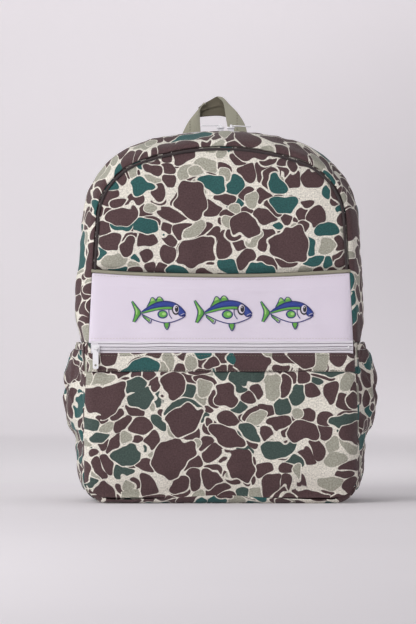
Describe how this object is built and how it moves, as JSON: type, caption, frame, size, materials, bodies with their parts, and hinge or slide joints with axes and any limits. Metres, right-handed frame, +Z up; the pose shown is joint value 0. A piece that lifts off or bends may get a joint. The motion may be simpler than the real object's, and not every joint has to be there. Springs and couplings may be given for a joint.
{
  "type": "backpack",
  "caption": "Child's fabric backpack with a zipped front flap, zipped front pocket, open side pockets, grab handle and padded shoulder straps.",
  "frame": {"origin": "middle of the flat bottom that the bag stands on", "axes": "+Z up, front towards -Y, +X to the viewer's right seen from the front"},
  "size_m": [0.36, 0.1914, 0.4735],
  "materials": {
    "camo_canvas": "matte printed canvas, rounded blotches on cream",
    "band_twill": "matte white cotton twill",
    "olive_fabric": "matte olive-grey cotton",
    "olive_webbing": "matte olive-grey cotton strap",
    "embroidery_thread": "satin stitched thread",
    "lining_fabric": "matte plain-woven polyester",
    "padded_mesh": "padded knitted mesh",
    "zip_tape": "woven tape, off white",
    "zip_coil": "nylon coil, satin",
    "white_lacquer": "white lacquer, gloss",
    "buckle_plastic": "moulded acetal, satin"
  },
  "bodies": {
    "bag": {"rear_gusset": "camo_canvas", "main_zip_rear_tape": "zip_tape", "main_zip_rear_coil": "zip_coil", "front_lower_panel": "camo_canvas", "bottom_panel": "camo_canvas", "back_panel": "camo_canvas", "back_pad": "padded_mesh", "body_lining": "lining_fabric", "pocket_zip_upper_tape": "zip_tape", "pocket_zip_upper_coil": "zip_coil", "pocket_zip_stops": "zip_coil", "handle_ends": "olive_webbing", "strap_yoke": "olive_fabric", "side_panel_left": "camo_canvas", "side_panel_right": "camo_canvas", "side_pocket_left": "camo_canvas", "side_pocket_right": "camo_canvas", "side_elastic_left": "camo_canvas", "side_elastic_right": "camo_canvas", "strap_webbing_left": "olive_webbing", "strap_webbing_right": "olive_webbing", "anchor_tab_left": "olive_fabric", "anchor_tab_right": "olive_fabric"},
    "front_flap": {"dome_panel": "camo_canvas", "band_piping": "olive_fabric", "band_panel": "band_twill", "fish_embroidery": "embroidery_thread", "front_gusset": "camo_canvas", "main_zip_front_tape": "zip_tape", "main_zip_front_coil": "zip_coil", "flap_lining": "lining_fabric"},
    "front_pocket": {"pocket_panel": "camo_canvas", "pocket_strip": "camo_canvas", "pocket_zip_lower_tape": "zip_tape", "pocket_zip_lower_coil": "zip_coil"},
    "pocket_slider": {"pocket_slider": "white_lacquer"},
    "pocket_pull": {"pocket_pull": "white_lacquer"},
    "main_slider_left": {"main_slider_left": "white_lacquer"},
    "main_slider_right": {"main_slider_right": "white_lacquer"},
    "main_pull_left": {"main_pull_left": "white_lacquer"},
    "main_pull_right": {"main_pull_right": "white_lacquer"},
    "grab_handle": {"grab_handle": "olive_webbing"},
    "shoulder_strap_left": {"shoulder_strap_left": "camo_canvas", "strap_end_left": "olive_webbing", "ladder_lock_left": "buckle_plastic", "strap_tail_left": "olive_webbing"},
    "shoulder_strap_right": {"shoulder_strap_right": "camo_canvas", "strap_end_right": "olive_webbing", "ladder_lock_right": "buckle_plastic", "strap_tail_right": "olive_webbing"}
  },
  "joints": [
    {"name": "front_flap_fold", "type": "hinge", "parent": "bag", "child": "front_flap", "pos_m": [0, -0.062, 0.184], "axis": [1, 0, 0], "range_deg": [0, 90]},
    {"name": "pocket_mouth", "type": "hinge", "parent": "bag", "child": "front_pocket", "pos_m": [0, -0.062, 0.0066], "axis": [1, 0, 0], "range_deg": [0, 8]},
    {"name": "pocket_slider_travel", "type": "slide", "parent": "front_pocket", "child": "pocket_slider", "axis": [1, 0, 0], "range_m": [0, 0.282]},
    {"name": "pocket_pull_swing", "type": "hinge", "parent": "pocket_slider", "child": "pocket_pull", "pos_m": [-0.1425, -0.0736, 0.176], "axis": [-1, 0, 0], "range_deg": [0, 100]},
    {"name": "main_slider_left_travel", "type": "hinge", "parent": "bag", "child": "main_slider_left", "pos_m": [0, -0.015, 0.15447], "axis": [0, -1, 0], "range_deg": [0, 18]},
    {"name": "main_slider_right_travel", "type": "hinge", "parent": "bag", "child": "main_slider_right", "pos_m": [0, -0.015, 0.15447], "axis": [0, 1, 0], "range_deg": [0, 15.5]},
    {"name": "main_pull_left_swing", "type": "hinge", "parent": "main_slider_left", "child": "main_pull_left", "pos_m": [0, -0.015, 0.4353], "axis": [0, 1, 0], "range_deg": [0, 150]},
    {"name": "main_pull_right_swing", "type": "hinge", "parent": "main_slider_right", "child": "main_pull_right", "pos_m": [0.01223, -0.015, 0.43503], "axis": [0, -1, 0], "range_deg": [0, 150]},
    {"name": "grab_handle_fall", "type": "hinge", "parent": "bag", "child": "grab_handle", "pos_m": [0, 0.04, 0.429], "axis": [1, 0, 0], "range_deg": [-80, 60]},
    {"name": "shoulder_strap_left_swing", "type": "hinge", "parent": "bag", "child": "shoulder_strap_left", "pos_m": [0, 0.0665, 0.404], "axis": [1, 0, 0], "range_deg": [0, 25]},
    {"name": "shoulder_strap_right_swing", "type": "hinge", "parent": "bag", "child": "shoulder_strap_right", "pos_m": [0, 0.0665, 0.404], "axis": [1, 0, 0], "range_deg": [0, 25]}
  ]
}
